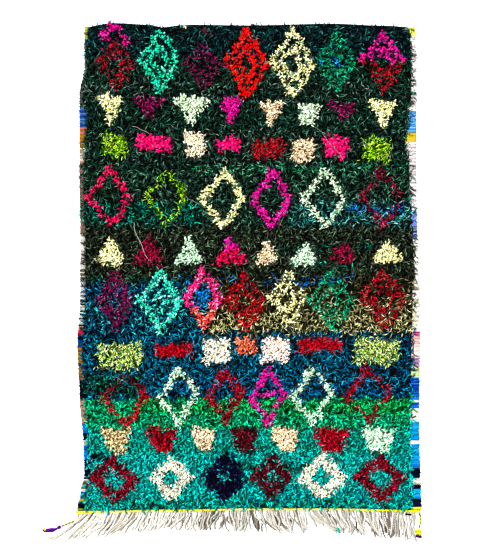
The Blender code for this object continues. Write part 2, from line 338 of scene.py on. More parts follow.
# ---- Knot on the right tail: the yarn tied round itself once, and the short frayed end below the
# knot, which is wound with purple thread.
KNOT_MIDDLE = (0.5100, -0.7988, 0.0064)
KNOT_TURNS = 3
TURN_REACH = (0.0062, 0.0036, 0.0034)
TURN_STEP = (0.0006, -0.0044)      # from one turn to the next
CORE_ROUTE = (
    (0.5112, -0.7915, 0.0030), (0.5100, -0.7980, 0.0060), (0.5106, -0.8050, 0.0045),
    (0.5140, -0.8088, 0.0032),
)
FRAYED_END_ROUTE = (
    (0.5030, -0.8092, 0.0046), (0.5085, -0.8102, 0.0052), (0.5145, -0.8116, 0.0050),
    (0.5200, -0.8124, 0.0046),
)
KNOT_RADIUS = 0.0025
FRAYED_RADIUS = 0.0046
turn_angle = np.linspace(0, math.tau, RAG_POINTS)
knot_parts = []
for turn in range(KNOT_TURNS):
    knot_parts.append(np.stack([
        KNOT_MIDDLE[0] + TURN_REACH[0] * np.cos(turn_angle) + TURN_STEP[0] * turn,
        KNOT_MIDDLE[1] + TURN_REACH[1] * np.sin(turn_angle) + TURN_STEP[1] * (turn - 1),
        KNOT_MIDDLE[2] + TURN_REACH[2] * np.sin(turn_angle + 0.5),
    ], 1))
for route in (CORE_ROUTE, FRAYED_END_ROUTE):
    knot_parts.append(even_route(np.array(route), RAG_POINTS)[0])
knot_dyes = [linear(c) for c in ("#b8c80c", "#9cac14", "#c8d040", "#788028", "#46085a")]
knot_radii = np.full((len(knot_parts), RAG_POINTS), KNOT_RADIUS)
knot_radii[-1] = FRAYED_RADIUS
right_tail_knot = lay_strands(
    "right_tail_tied_knot", RAG, tail_wool, knot_parts, knot_dyes, knot_radii, knot_radii * 0.9,
)
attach(right_tail_knot, "root")
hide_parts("right_tail_knot")


# ---- Knotting chart: rows of knots of wool and torn rag, worked in by hand, so lines wander and each
# dye lot varies. Bands of dark greens, blues and turquoise carry rows of diamonds, triangles and bars.
RUG_WIDTH = 1.014
RUG_LENGTH = 1.460
SIDES = (  # at, left out and right out, in millimetres
    (-735, 11, 10), (-680, 0, 8), (-620, -12, 6), (-520, -8, 3), (-400, 2, 3), (-230, 9, 5),
    (-100, 1, 5), (60, 0, -2), (320, 3, -4), (510, 3, -4), (610, -12, -3), (735, -12, -8),
)
ENDS = (  # at, fringed end out and turned end out, in millimetres
    (-510, 4, -6), (-410, 3, 8), (-300, 1, 3), (-265, 0, -5), (-190, -1, 3), (0, -4, 1),
    (250, -4, 6), (410, -1, 0), (510, 2, -6),
)
BARE_SELVEDGE = (  # at, and how much of the left and right one the pile leaves bare, in millimetres
    (-735, 15, 20), (-700, 10, 19), (-220, 9, 16), (-160, 9, 13), (-50, 9, 12), (-30, 9, 3),
    (75, 8, 3), (95, 8, 7), (180, 6, 7), (200, 5, 13), (310, 6, 13), (330, 10, 18), (360, 10, 26),
    (390, 8, 26), (405, 14, 24), (415, 16, 19), (480, 16, 18), (495, 5, 8), (640, 2, 8),
    (735, 4, 9),
)
PILE_SPREAD = 0.0040     # how far a figure's ends of pile reach past its own knots
WANDERING_EDGE = 0.0018  # how far a figure's edge strays
ROW_WANDER = ((0.0040, 47, 0.6), (0.002, 139, 0))      # how far, how often and from where
COLUMN_WANDER = ((0.0035, 61, 1.3), (0.002, 173, 0))
SLANT = 1.5              # how much wider a stroke is across than square to its slanting side
INNER_DIAMOND = 0.46     # of a double diamond, as a share of the outer one


def read(stations, at, column):
    """A column of a table in millimetres, eased from one station to the next, in metres."""
    places = np.array([row[0] for row in stations]) / 1000
    values = np.array([row[column] for row in stations]) / 1000
    index = np.clip(np.searchsorted(places, at) - 1, 0, len(places) - 2)
    share = np.clip((at - places[index]) / (places[index + 1] - places[index]), 0, 1)
    return values[index] + (values[index + 1] - values[index]) * share * share * (3 - 2 * share)


def left_side(y):
    return -RUG_WIDTH / 2 - read(SIDES, y, 1)


def right_side(y):
    return RUG_WIDTH / 2 + read(SIDES, y, 2)


def fringed_end(x):
    return -RUG_LENGTH / 2 - read(ENDS, x, 1)


def turned_end(x):
    return RUG_LENGTH / 2 + read(ENDS, x, 2)


# The deep yarn of each dye is darker yarn and also painted shade: on the dark grounds it is near black and
# stands in for the black gaps between tufts.
DYES = {  # deep, main and pale yarn of one dye, and how often the deep and the pale one come up
    "teal_black": ("#010405", "#1c4c50", "#4c9c94", 0.42, 0.14),
    "bottle": ("#010403", "#265846", "#6caa90", 0.40, 0.13),
    "grey_green": ("#030404", "#4c6259", "#a8b8ae", 0.40, 0.18),
    "leaf_green": ("#060e0a", "#30946a", "#98e4bc", 0.30, 0.22),
    "charcoal": ("#010302", "#36604e", "#74b496", 0.42, 0.15),
    "teal": ("#020808", "#107464", "#14e0bc", 0.34, 0.18),
    "grey_teal": ("#030809", "#348884", "#9ce8dc", 0.32, 0.20),
    "soot": ("#020302", "#485642", "#88a686", 0.44, 0.14),
    "royal": ("#040e24", "#0c7cc4", "#3cc0f4", 0.26, 0.22),
    "navy_blue": ("#020812", "#14708c", "#50e0e0", 0.34, 0.20),
    "olive": ("#18180c", "#a8a470", "#fffccc", 0.22, 0.30),
    "dark_olive": ("#080904", "#4c4c30", "#b8b484", 0.36, 0.18),
    "petrol": ("#010c14", "#087c9c", "#18c8e4", 0.32, 0.18),
    "deep_petrol": ("#020a12", "#0a5070", "#149cbc", 0.34, 0.16),
    "deep_blue": ("#020a18", "#0c6c9c", "#20a8d8", 0.32, 0.16),
    "dark_green": ("#030c0a", "#187460", "#24c4a4", 0.34, 0.18),
    "jade": ("#04482c", "#0cb480", "#1cf8c8", 0.26, 0.18),
    "emerald_ground": ("#045028", "#10b868", "#20f8b0", 0.24, 0.16),
    "sea_green": ("#066858", "#00ac98", "#14dccc", 0.20, 0.18),
    "turquoise": ("#0a8882", "#00bab2", "#14e4dc", 0.18, 0.18),
    "violet": ("#200848", "#5424a8", "#9464e8", 0.24, 0.20),
    "night": ("#030310", "#12123c", "#4c3c84", 0.44, 0.12),
    "crimson": ("#50041a", "#bc0c30", "#fc3458", 0.30, 0.16),
    "scarlet": ("#b00408", "#ff1010", "#ff5a48", 0.24, 0.12),
    "cherry": ("#6c0214", "#d0082c", "#ff3450", 0.28, 0.14),
    "magenta": ("#8a0068", "#e4109c", "#ff58d0", 0.26, 0.16),
    "hot_pink": ("#b8004c", "#ff0c80", "#ff60b0", 0.20, 0.18),
    "plum": ("#38062a", "#94185c", "#e050a8", 0.32, 0.14),
    "garnet": ("#1c0308", "#a00c30", "#f0305c", 0.42, 0.20),
    "wine": ("#40051c", "#a41448", "#e0487c", 0.30, 0.14),
    "rose": ("#70042c", "#dc0c5c", "#ff4c90", 0.24, 0.16),
    "brick": ("#4c040c", "#b8182c", "#e84c58", 0.28, 0.14),
    "maroon": ("#16040a", "#741428", "#c04454", 0.42, 0.14),
    "mint": ("#08a884", "#1cdcb4", "#b8fff0", 0.20, 0.14),
    "aqua": ("#149880", "#40dcc0", "#c8fff0", 0.22, 0.22),
    "emerald": ("#046040", "#10b084", "#38ecbc", 0.28, 0.16),
    "lime": ("#2c5404", "#98d014", "#ecfc68", 0.28, 0.24),
    "pale_lime": ("#2c4410", "#bcda6c", "#f8ffce", 0.24, 0.36),
    "pale_yellow": ("#b0a864", "#e2e0aa", "#faf8dc", 0.16, 0.32),
    "sage": ("#98b08c", "#c8dcbe", "#e8f4e0", 0.14, 0.30),
    "pale_mint": ("#8cb898", "#c2dec2", "#e8f6e6", 0.16, 0.30),
    "peach": ("#a8845c", "#dec8aa", "#f0e6d0", 0.18, 0.32),
    "tan": ("#7c6440", "#c6b68e", "#ecdeb8", 0.22, 0.26),
    "cream": ("#b49c74", "#e8dcc4", "#f4ecdc", 0.12, 0.34),
    "ivory": ("#9c947c", "#dedcca", "#f4f4e6", 0.14, 0.32),
    "pale_pink": ("#dcb0a4", "#eed8cc", "#f8eee4", 0.14, 0.42),
    "coral": ("#98281c", "#dc6c50", "#f8b888", 0.26, 0.26),
    "candy": ("#a80c54", "#ec2c88", "#ffb0d8", 0.20, 0.30),
    "salmon": ("#b03038", "#ee6458", "#ffc8b4", 0.22, 0.30),
}
BANDS = (  # far and near edge, in millimetres, dye, how much takes the dye, and the sides of a short one
    (760, 620, "teal_black", 1),
    (620, 500, "bottle", 1),
    (560, 420, "grey_green", 0.35),
    (500, 307, "bottle", 1),
    (420, 307, "grey_green", 0.28),
    (307, 287, "leaf_green", 0.8, -180, 600),
    (307, 287, "bottle", 1, -600, -180),
    (287, 196, "charcoal", 1),
    (196, 126, "teal", 0.9, -600, -160),
    (196, 126, "charcoal", 1, -160, 120),
    (196, 126, "grey_teal", 0.9, 120, 600),
    (188, 168, "royal", 0.7, 285, 475),
    (126, -30, "soot", 1),
    (68, 52, "dark_green", 0.7, 90, 390),
    (12, -4, "teal", 0.45, 190, 340),
    (-50, -200, "navy_blue", 1, -600, -120),
    (-50, -100, "deep_blue", 0.4, -600, -300),
    (-30, -200, "dark_olive", 1, -120, 600),
    (-90, -200, "olive", 0.45, -120, 600),
    (-145, -200, "olive", 0.8, -120, 600),
    (-32, -50, "royal", 0.55, -300, 320),
    (-197, -400, "petrol", 1),
    (-197, -330, "deep_petrol", 0.8, 280, 600),
    (-285, -340, "deep_petrol", 0.8, -600, -420),
    (-200, -214, "deep_petrol", 0.6),
    (-322, -385, "dark_green", 0.8, -600, -330),
    (-340, -396, "deep_blue", 0.6, -250, 600),
    (-396, -440, "emerald_ground", 0.9),
    (-396, -440, "jade", 0.8, -600, -330),
    (-440, -485, "jade", 0.95),
    (-485, -750, "turquoise", 1),
    (-485, -562, "sea_green", 0.75),
    (-690, -750, "sea_green", 0.4),
    (-592, -611, "dark_green", 0.75, -50, 180),
    (-566, -584, "night", 0.8, -480, -420),
    (-655, -750, "petrol", 0.12, -20, 600),
    (-700, -750, "dark_green", 0.18),
)
chart = []
Figure = namedtuple("Figure", "shape x half far near dye cover stroke start stop")


def chart_row(shape, far, near, *figures, cover=0.92, stroke=14):
    """A row of like figures across the rug. Each is (middle, half width, dye) and then, where it
    differs from the row, a dict of what differs. start and stop keep a part of it, from -1 at its
    near point to 1 at its far one. Sizes are in millimetres, and the chart holds them in metres."""
    for x, half, dye, *other in figures:
        facts = dict(x=x, half=half, far=far, near=near, stroke=stroke)
        facts.update(shape=shape, dye=dye, cover=cover, start=-1.1, stop=1.1)
        facts.update(other[0] if other else {})
        for size in ("x", "half", "far", "near", "stroke"):
            facts[size] /= 1000
        chart.append(Figure(**facts))


chart_row(
    "double", 725, 525,
    (-402, 62, "crimson", dict(far=700, near=530, cover=0.58, stroke=10)),
    (-268, 65, "mint", dict(near=522, cover=0.98, stroke=6.6)),
    (-140, 65, "plum", dict(far=685, near=535, cover=0.70, stroke=10)),
    (-6, 68, "scarlet", dict(near=505, cover=0.96, stroke=8.2)),
    (132, 70, "pale_yellow", dict(near=503, cover=0.95, stroke=7.8)),
    (264, 66, "emerald", dict(far=718, near=520, cover=0.88, stroke=9)),
    (404, 72, "magenta", dict(far=712, start=0.0, stroke=7.8)),
    (404, 72, "cherry", dict(far=712, stop=0.0, cover=0.85, stroke=9)),
)
chart_row(
    "point_near", 515, 426,
    (-417, 40, "pale_yellow", dict(far=520)),
    (-301, 50, "plum", dict(far=512, near=445)),
    (-173, 58, "sage"),
    (-56, 35, "magenta", dict(far=506)),
    (69, 40, "peach", dict(far=500, near=422)),
    (178, 38, "sage", dict(far=494, shape="cup")),
    (279, 42, "plum", dict(far=496, near=444)),
    (402, 45, "pale_yellow", dict(far=503)),
    cover=0.97,
)
chart_row(
    "bar", 395, 335,
    (-408, 39, "lime", dict(far=404, cover=0.85)),
    (-287, 52, "hot_pink", dict(far=396, near=350)),
    (-164, 32, "cream", dict(far=404, near=332)),
    (-63, 36, "hot_pink", dict(far=388, near=347, cover=0.9)),
    (57, 48, "brick", dict(far=388, near=326, cover=0.88)),
    (161, 35, "peach", dict(far=388, near=320)),
    (260, 36, "hot_pink"),
    (383, 44, "lime", dict(far=388, near=317, cover=0.85)),
    cover=0.98,
)
chart_row(
    "ring", 303, 110,
    (-420, 74, "rose", dict(far=310, near=116, start=-0.25, stroke=10)),
    (-420, 74, "rose", dict(far=310, near=116, stop=-0.25, cover=0.75)),
    (-246, 68, "lime", dict(near=119, cover=0.75, stroke=10)),
    (-78, 75, "pale_yellow", dict(stroke=12)),
    (69, 66, "magenta", dict(near=106, stroke=11)),
    (227, 73, "sage"),
    (401, 71, "wine", dict(far=310, cover=0.75, stroke=10)),
    stroke=9.5,
)
chart_row(
    "point_far", 88, 8,
    (-418, 46, "pale_yellow"),
    (-303, 48, "wine", dict(far=95)),
    (-181, 44, "pale_mint", dict(far=91)),
    (-57, 48, "magenta", dict(far=83, start=0.2)),
    (-57, 48, "rose", dict(far=83, stop=0.2)),
    (51, 33, "peach", dict(far=83)),
    (165, 42, "pale_mint", dict(far=80)),
    (284, 42, "wine", dict(far=83, near=17, cover=0.9)),
    (416, 46, "pale_yellow", dict(near=17)),
    cover=0.97,
)
chart_row(
    "double", 2, -195,
    (-401, 61, "plum", dict(cover=0.6, near=-200)),
    (-266, 72, "aqua", dict(near=-206, shape="ring", stroke=12.5, cover=0.95)),
    (-266, 30, "aqua", dict(far=-60, near=-140, shape="ring", stroke=6, cover=0.5)),
    (-137, 62, "candy", dict(far=13, start=-0.3, shape="ring", stroke=14)),
    (-137, 62, "salmon", dict(far=13, stop=-0.3, shape="ring", stroke=14)),
    (-11, 68, "cherry", dict(far=-5, stroke=10)),
    (117, 61, "pale_yellow", dict(far=-5, near=-184, stroke=6.8, cover=0.82)),
    (249, 74, "emerald", dict(cover=0.8, stroke=10)),
    (404, 76, "crimson", dict(near=-188, stroke=10)),
    cover=0.88,
)
chart_row(
    "bar", -214, -287,
    (-389, 71, "pale_lime", dict(far=-227, near=-304, cover=0.9)),
    (-230, 61, "cherry", dict(far=-227, near=-269)),
    (-98, 41, "ivory"),
    (-9, 30, "coral", dict(near=-260)),
    (78, 43, "pale_pink"),
    (211, 67, "cherry", dict(near=-256)),
    (383, 71, "pale_lime", dict(near=-290, cover=0.9)),
    cover=0.99,
)
chart_row(
    "ring", -292, -474,
    (-372, 78, "maroon", dict(far=-301, near=-484, start=0.2, cover=0.7, stroke=12)),
    (-372, 78, "cherry", dict(far=-301, near=-484, stop=0.2, stroke=13)),
    (-211, 68, "pale_mint", dict(near=-481)),
    (-72, 63, "crimson", dict(cover=0.92, stroke=13)),
    (57, 60, "magenta", dict(near=-481, cover=0.8, stroke=10)),
    (192, 69, "pale_mint"),
    (358, 80, "crimson", dict(cover=0.9, start=-0.15, stroke=14)),
    (358, 80, "crimson", dict(cover=0.55, stop=-0.15, stroke=12)),
    stroke=10,
)
chart_row(
    "cup", -483, -555,
    (-398, 50, "tan"),
    (-261, 51, "crimson"),
    (-134, 41, "peach", dict(near=-547)),
    (-12, 48, "maroon"),
    (111, 45, "peach"),
    (247, 61, "crimson"),
    (390, 54, "pale_mint"),
    cover=0.97,
)
chart_row(
    "filled", -560, -708,
    (-407, 85, "garnet", dict(near=-718, shape="ring", stroke=27, cover=0.92)),
    (-234, 70, "ivory", dict(shape="ring", stroke=23, cover=0.92)),
    (-73, 76, "night", dict(far=-550, near=-712)),
    (68, 69, "maroon", dict(far=-553, near=-706, cover=0.85)),
    (221, 79, "ivory", dict(far=-556, shape="ring", stroke=25, cover=0.92)),
    (396, 87, "garnet", dict(far=-554, near=-712, shape="ring", stroke=28, cover=0.92)),
    cover=0.93,
)
chart_row(
    "bar", 0, 0,
    (-402, 18, "magenta", dict(far=737, near=709)),
    (-433, 16, "magenta", dict(far=710, near=682)),
    (-377, 12, "magenta", dict(far=703, near=676)),
    (-189, 6, "pale_yellow", dict(far=732, near=722)),
    (-500, 8, "pale_lime", dict(far=728, near=708)),
    (-498, 6, "violet", dict(far=708, near=688)),
    (486, 7, "pale_lime", dict(far=725, near=700)),
    (-128, 8, "crimson", dict(far=722, near=698, cover=0.6)),
    (263, 7, "royal", dict(far=623, near=610)),
    (225, 7, "royal", dict(far=619, near=607)),
    (-137, 24, "royal", dict(far=-60, near=-125, cover=0.35)),
    (57, 20, "magenta", dict(far=-374, near=-390)),
    (-73, 18, "turquoise", dict(far=-618, near=-645, cover=0.5)),
    (68, 16, "turquoise", dict(far=-618, near=-642, cover=0.6)),
)


def within(figure, x, y):
    """Which of these places lie on a figure's own yarn. Each is drawn in by the pile's spread, and
    its shape is a width, as a share of its half width, at each height from -1 to 1."""
    middle, height = (figure.far + figure.near) / 2, (figure.far - figure.near) / 2 - PILE_SPREAD * 0.7
    half = figure.half - min(PILE_SPREAD, figure.half * 0.3)
    across, along = np.abs(x - figure.x) / half, (y - middle) / height
    edge = across + np.abs(along)
    line = figure.stroke / half * SLANT
    shape = {
        "bar": (across < 1) & (np.abs(along) < 1),
        "filled": edge < 1,
        "ring": np.abs(edge - 1 + line / 2) < line / 2,
        "double": (np.abs(edge - 1 + line / 2) < line / 2) | (np.abs(edge - INNER_DIAMOND) < line / 2.2),
        "point_near": (across < np.clip(0.50 + 0.62 * along, 0.24, 1)) & (np.abs(along) < 1),
        "point_far": (across < np.clip(0.58 - 0.56 * along, 0.16, 1)) & (np.abs(along) < 1),
        "cup": (across < 0.74 + 0.26 * along) & (np.abs(along) < 1),
    }[figure.shape]
    return shape & (along > figure.start) & (along < figure.stop)


def wander(at, waves):
    """How far a line of knots strays at each place along it."""
    return sum(reach * np.sin(at * rate + start) for reach, rate, start in waves)


def charted(places, draw):
    """The dye at each place, and whether it belongs to a figure."""
    x, y = (places + draw.normal(0, WANDERING_EDGE, places.shape)).T
    x = x + wander(y, COLUMN_WANDER)
    y = y + wander(x, ROW_WANDER)
    names = np.full(len(places), "bottle", dtype="<U20")
    for far, near, dye, cover, *sides in BANDS:
        left, right = sides or (-600, 600)
        chosen = (y < far / 1000) & (y > near / 1000) & (x > left / 1000) & (x < right / 1000)
        names[chosen & (draw.random(len(places)) < cover)] = dye
    figured = np.zeros(len(places), bool)
    for figure in chart:
        chosen = within(figure, x, y) & (draw.random(len(places)) < figure.cover)
        names[chosen] = figure.dye
        figured |= chosen
    return names, figured


def dyed(names, draw, evenness=0.12):
    """A colour for each length of yarn: between the deep and the main one of its dye, about the main
    one, or between that and the pale one, and never quite even. The deep one is darker yarn and also painted
    shade for the gaps between tufts."""
    colours = np.zeros((len(names), 3))
    for name in np.unique(names):
        deep_and_shade, main, pale, deep_and_shade_share, pale_share = DYES[name]
        chosen = names == name
        roll = draw.random(chosen.sum())[:, None]
        blend = draw.random(chosen.sum())[:, None]
        deep_and_shade, main, pale = (np.array(linear(c)) for c in (deep_and_shade, main, pale))
        low = deep_and_shade + (main - deep_and_shade) * blend * 0.6
        high = main + (pale - main) * (0.4 + 0.6 * blend)
        middle = main * (0.6 + 0.75 * blend)
        light = np.where(roll > 1 - pale_share, high, middle)
        colours[chosen] = np.where(roll < deep_and_shade_share, low, light)
    return np.clip(colours * draw.normal(1, evenness, (len(names), 1)), 0.001, 1)


# ---- Ground weave: a plain woollen cloth of weft beaten down over the warps, which holds every
# knot. From above it shows only between the tufts, in the knots' dyes under a painted shadow of the pile;
# underneath, the knots' feet colour it.
BRIGHT_GROUND = ("jade", "emerald_ground", "sea_green", "turquoise")
WEAVE_THICKNESS = 0.003
WEAVE_CELL = 0.018
WEFT_PITCH = 0.0045
WARP_PITCH = 0.009
# Painted shadow of the pile: the share of each dye it leaves on the upper side, under figures, bright ground
# and dark ground.
PAINTED_SHADE_ABOVE = {"figures": 0.55, "bright": 0.36, "dark": 0.04}  # how much of each dye shows
SHOWN_BELOW = 0.8
bpy.ops.mesh.primitive_grid_add(
    x_subdivisions=round(RUG_WIDTH / WEAVE_CELL), y_subdivisions=round(RUG_LENGTH / WEAVE_CELL), size=2,
    location=(0, 0, 0),
)
ground_weave = bpy.context.object
ground_weave.name = "ground_weave"
weave_places = np.array([v.co for v in ground_weave.data.vertices])
share_across, share_along = (weave_places[:, 0] + 1) / 2, (weave_places[:, 1] + 1) / 2
weave_y = -RUG_LENGTH / 2 + RUG_LENGTH * share_along
weave_x = left_side(weave_y) * (1 - share_across) + right_side(weave_y) * share_across
weave_y = fringed_end(weave_x) * (1 - share_along) + turned_end(weave_x) * share_along
weave_places = np.stack([weave_x, weave_y, np.full(len(weave_x), WEAVE_THICKNESS)], 1)
ground_weave.data.vertices.foreach_set("co", weave_places.ravel())
weave_names, weave_figured = charted(weave_places[:, :2], np.random.default_rng(5))
weave_dyes = dyed(weave_names, np.random.default_rng(6))
bright = np.isin(weave_names, BRIGHT_GROUND)
# The pile's painted shadow on the upper side, weakest under figures and bright ground.
painted_shade_above = np.select(
    [weave_figured, bright], [PAINTED_SHADE_ABOVE["figures"], PAINTED_SHADE_ABOVE["bright"]], PAINTED_SHADE_ABOVE["dark"],
)
foot_colours = np.concatenate([weave_dyes, painted_shade_above[:, None]], 1)
ground_weave.data.color_attributes.new("dye", "FLOAT_COLOR", "POINT")
ground_weave.data.color_attributes["dye"].data.foreach_set("color", foot_colours.ravel())
body = ground_weave.modifiers.new("thickness", "SOLIDIFY")
body.thickness = WEAVE_THICKNESS
body.offset = -1
bpy.ops.object.modifier_apply(modifier=body.name)


def weave_material():
    """Weft-faced wool plain weave: ribs across the rug, 4.5 mm apart, which is coarser than the real
    ones so that they show, with painted shade in their hollows, and the knots' feet in their own dyes on the
    underside.
    The pile's painted shadow leaves the upper side almost black, but between bright tufts and under the
    figures it keeps some of their colour."""
    material = bpy.data.materials.new("plain_woven_wool_ground")
    material.use_nodes = True
    tree = material.node_tree
    place = add_node(tree, "ShaderNodeTexCoord")
    dye = add_node(tree, "ShaderNodeAttribute", {"attribute_name": "dye"})
    weft = add_node(tree, "ShaderNodeTexWave", {"bands_direction": "Y"}, {
        "Vector": place.outputs["Object"], "Scale": math.tau / 20 / WEFT_PITCH,
        "Distortion": 1.2, "Detail": 2.0,
    })
    warp = add_node(tree, "ShaderNodeTexWave", {"bands_direction": "X"}, {
        "Vector": place.outputs["Object"], "Scale": math.tau / 20 / WARP_PITCH,
    })
    ribs = add_node(tree, "ShaderNodeMath", {"operation": "MULTIPLY"}, {
        0: weft.outputs["Fac"], 1: warp.outputs["Fac"],
    })
    split = add_node(tree, "ShaderNodeSeparateXYZ", {}, {"Vector": place.outputs["Object"]})
    # Painted shadow of the pile: the upper side keeps only the dye's alpha share, the underside SHOWN_BELOW.
    painted_pile_shadow = add_node(tree, "ShaderNodeMapRange", {}, {
        "Value": split.outputs["Z"], "From Min": WEAVE_THICKNESS / 3, "From Max": WEAVE_THICKNESS * 2 / 3,
        "To Min": SHOWN_BELOW, "To Max": dye.outputs["Alpha"],
    })
    # Painted shade in the hollows between the ribs.
    shade = add_node(tree, "ShaderNodeMapRange", {}, {
        "Value": ribs.outputs["Value"], "To Min": 0.55, "To Max": 1.0,
    })
    depth = add_node(tree, "ShaderNodeMath", {"operation": "MULTIPLY"}, {
        0: painted_pile_shadow.outputs["Result"], 1: shade.outputs["Result"],
    })
    relief = (0.6, 0.0012)
    fibre_shader(tree, dye, depth.outputs["Value"], ribs.outputs["Value"], relief, roughness=0.95, gloss=0.15)
    return material


ground_weave.data.materials.clear()
ground_weave.data.materials.append(weave_material())
bpy.ops.object.select_all(action="DESELECT")
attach(ground_weave, "root")
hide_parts("woven_rug")


# ---- Selvedges: at each side the weft is wrapped tight round a bundle of outer warps, in whatever
# yarn was at hand, so each edge is a ribbed strip of blues, creams, mustards and greys.
WRAP_PITCH = 0.0042
WRAP_REST = 0.0026       # height of a wrap's middle at the pile's edge
HUMP_HEIGHT = 0.0018     # of a wrap over each bundle of warps
WRAP_STRAY = 0.0007
WRAP_SLANT = 0.0006
WRAP_DIP = 0.0006        # of a wrap's outer end
SECOND_YARN_SHARE = 0.35
UNDER_PILE = 0.006       # how far a wrap runs in under the pile
LEFT_WRAPS = (  # near end of the stretch, in millimetres, and its two yarns
    (690, "#d8d040", "#e8e4f0"), (592, "#5c605c", "#8c9088"), (577, "#a8b4c0", "#c8ccd0"),
    (523, "#3c4a44", "#7c8480"), (484, "#6a6e6c", "#2c302e"), (422, "#2c62b8", "#6898d8"),
    (362, "#c89428", "#e07888"), (320, "#ece0cc", "#c8b8a0"), (100, "#b08878", "#7c7a78"),
    (-77, "#e8e4dc", "#8c7c6c"), (-178, "#f0ece0", "#1c1c1c"), (-190, "#e8e0d0", "#c8b8a0"),
    (-206, "#b01838", "#d83858"), (-238, "#101418", "#2050a0"), (-340, "#8c6c48", "#c8a040"),
    (-400, "#0c0c10", "#181c40"), (-470, "#b89888", "#d8b8a8"), (-502, "#1470c0", "#2c98dc"),
    (-520, "#101014", "#303038"), (-536, "#f4f0e8", "#c8c8c8"), (-580, "#0c78c8", "#1898e0"),
    (-638, "#0c1030", "#182850"), (-676, "#8c6c58", "#ece8e0"), (-698, "#1070b8", "#2090d8"),
    (-704, "#e8e020", "#c8c040"), (-728, "#080814", "#141430"), (-760, "#ece020", "#d0c830"),
)
RIGHT_WRAPS = (
    (698, "#ece430", "#f4f0a0"), (472, "#f4f0ec", "#f0d8d8"), (406, "#58a8e8", "#98c8f0"),
    (376, "#e0c838", "#b89820"), (172, "#f4f0ec", "#d8c8c8"), (82, "#8090d8", "#b0b8e8"),
    (-193, "#f4f2ec", "#e0dcd4"), (-203, "#c01878", "#e858a8"), (-274, "#f2e4dc", "#e8b8b4"),
    (-298, "#b888b8", "#d0a8cc"), (-334, "#d0e0a8", "#e8f0d0"), (-398, "#0c50b8", "#2c88e0"),
    (-406, "#f4f2f0", "#e0e0e0"), (-424, "#0c60c8", "#2080d8"), (-466, "#f6f4ee", "#ece4d4"),
    (-508, "#109cd8", "#30b8e8"), (-520, "#0c80c8", "#1c98d8"), (-532, "#f4f4f4", "#e0e4e8"),
    (-584, "#109cd8", "#28b0e4"), (-604, "#0c80c8", "#1c9cd8"), (-634, "#0c1024", "#14204c"),
    (-656, "#f4ece8", "#ecd0cc"), (-670, "#101014", "#f0f0f0"), (-698, "#0c9cd8", "#28b4e8"),
    (-724, "#0a0e28", "#141c48"), (-760, "#ece828", "#d8d040"),
)
WRAP_RINGS = 6
WRAP = model_strand("weft_wrap", 5, WRAP_RINGS, 0.8)
wrap_wool = yarn_material("weft_wrapped_wool", 1.0, 0.05, 0.9, ply=0.0024, painted_groove_shade=0.45)


def wrapped_edge(name, wraps, outer, inner, brightness, seed):
    """Weft wraps side by side along a whole side, each from under the pile over the warps and down."""
    draw = np.random.default_rng(seed)
    y = np.arange(-RUG_LENGTH / 2 + 0.001, RUG_LENGTH / 2 - 0.003, WRAP_PITCH)
    share = np.linspace(0, 1, WRAP_RINGS)[None]
    near_ends = -np.array([near for near, first, second in wraps]) / 1000
    stretch = np.searchsorted(near_ends, -y)
    yarns = np.array([[linear(first), linear(second)] for near, first, second in wraps])
    second_yarn = (draw.random(len(y)) < SECOND_YARN_SHARE).astype(int)
    dyes = yarns[np.minimum(stretch, len(wraps) - 1), second_yarn]
    dyes = np.clip(dyes * draw.normal(brightness, 0.10, (len(y), 1)), 0.002, 1)
    start, end = inner(y)[:, None], outer(y)[:, None] + draw.normal(0, WRAP_STRAY, (len(y), 1))
    x = start + (end - start) * np.sin(share * math.pi / 2) ** 0.9
    humps = np.abs(np.sin(share * math.tau)) ** 0.7
    z = WRAP_REST + HUMP_HEIGHT * humps * (1 - share ** 6) - WRAP_DIP * share ** 4
    slant = draw.normal(0, WRAP_STRAY, (len(y), 1)) * share + WRAP_SLANT * share
    paths = np.stack([x, y[:, None] + slant, np.broadcast_to(z, x.shape)], 2)
    halves = np.full(x.shape, WRAP_PITCH * 0.56)
    sideways = np.broadcast_to([0.0, 1.0, 0.0], (len(y), 3))
    piece = lay_strands(name, WRAP, wrap_wool, paths, dyes, halves, halves * 0.62, sideways)
    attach(piece, "root")
    return piece


left_selvedge = wrapped_edge(
    "left_selvedge", LEFT_WRAPS,
    outer=lambda y: left_side(y) - 0.0015,
    inner=lambda y: left_side(y) + read(BARE_SELVEDGE, y, 1) + UNDER_PILE,
    brightness=0.66, seed=11,
)
right_selvedge = wrapped_edge(
    "right_selvedge", RIGHT_WRAPS,
    outer=lambda y: right_side(y) + np.interp(y, [0.0, 0.2], [0.0035, 0.001]),
    inner=lambda y: right_side(y) - read(BARE_SELVEDGE, y, 2) - UNDER_PILE,
    brightness=0.87, seed=12,
)


# ---- Ground pile: the long shag between the figures, of short lengths of unravelled wool knotted over
# two warps each. The two ends lie over at random, so dark and light strands cross; the black gaps between
# them are painted shade, in near-black roots and near-black deep strands.
TUFT = model_strand("wool_end", 3, 4, 0.45)
GROUND_PITCH = 0.0092
GROUND_SCATTER = 0.0028  # how far a knot's two ends stand from its middle
GROUND_RISE = (0.010, 0.0205)
GROUND_CURL = 0.8
ROOT_HEIGHT = 0.002
MOST_DROOP = 0.004
PILE_WAVE = 0.0011       # height of the slow waves in the pile's surface
PILE_WAVE_LENGTHS = (0.310, 0.270)
LOOSE_KNOT = 0.24        # how far a knot strays from its place, as a share of the pitch
KNOT_FIELD = ((-0.53, 0.53), (-0.75, 0.76))
FIRST_ROW = 0.003        # from the fringed end of the weave
LAST_ROW = 0.004         # from its turned end


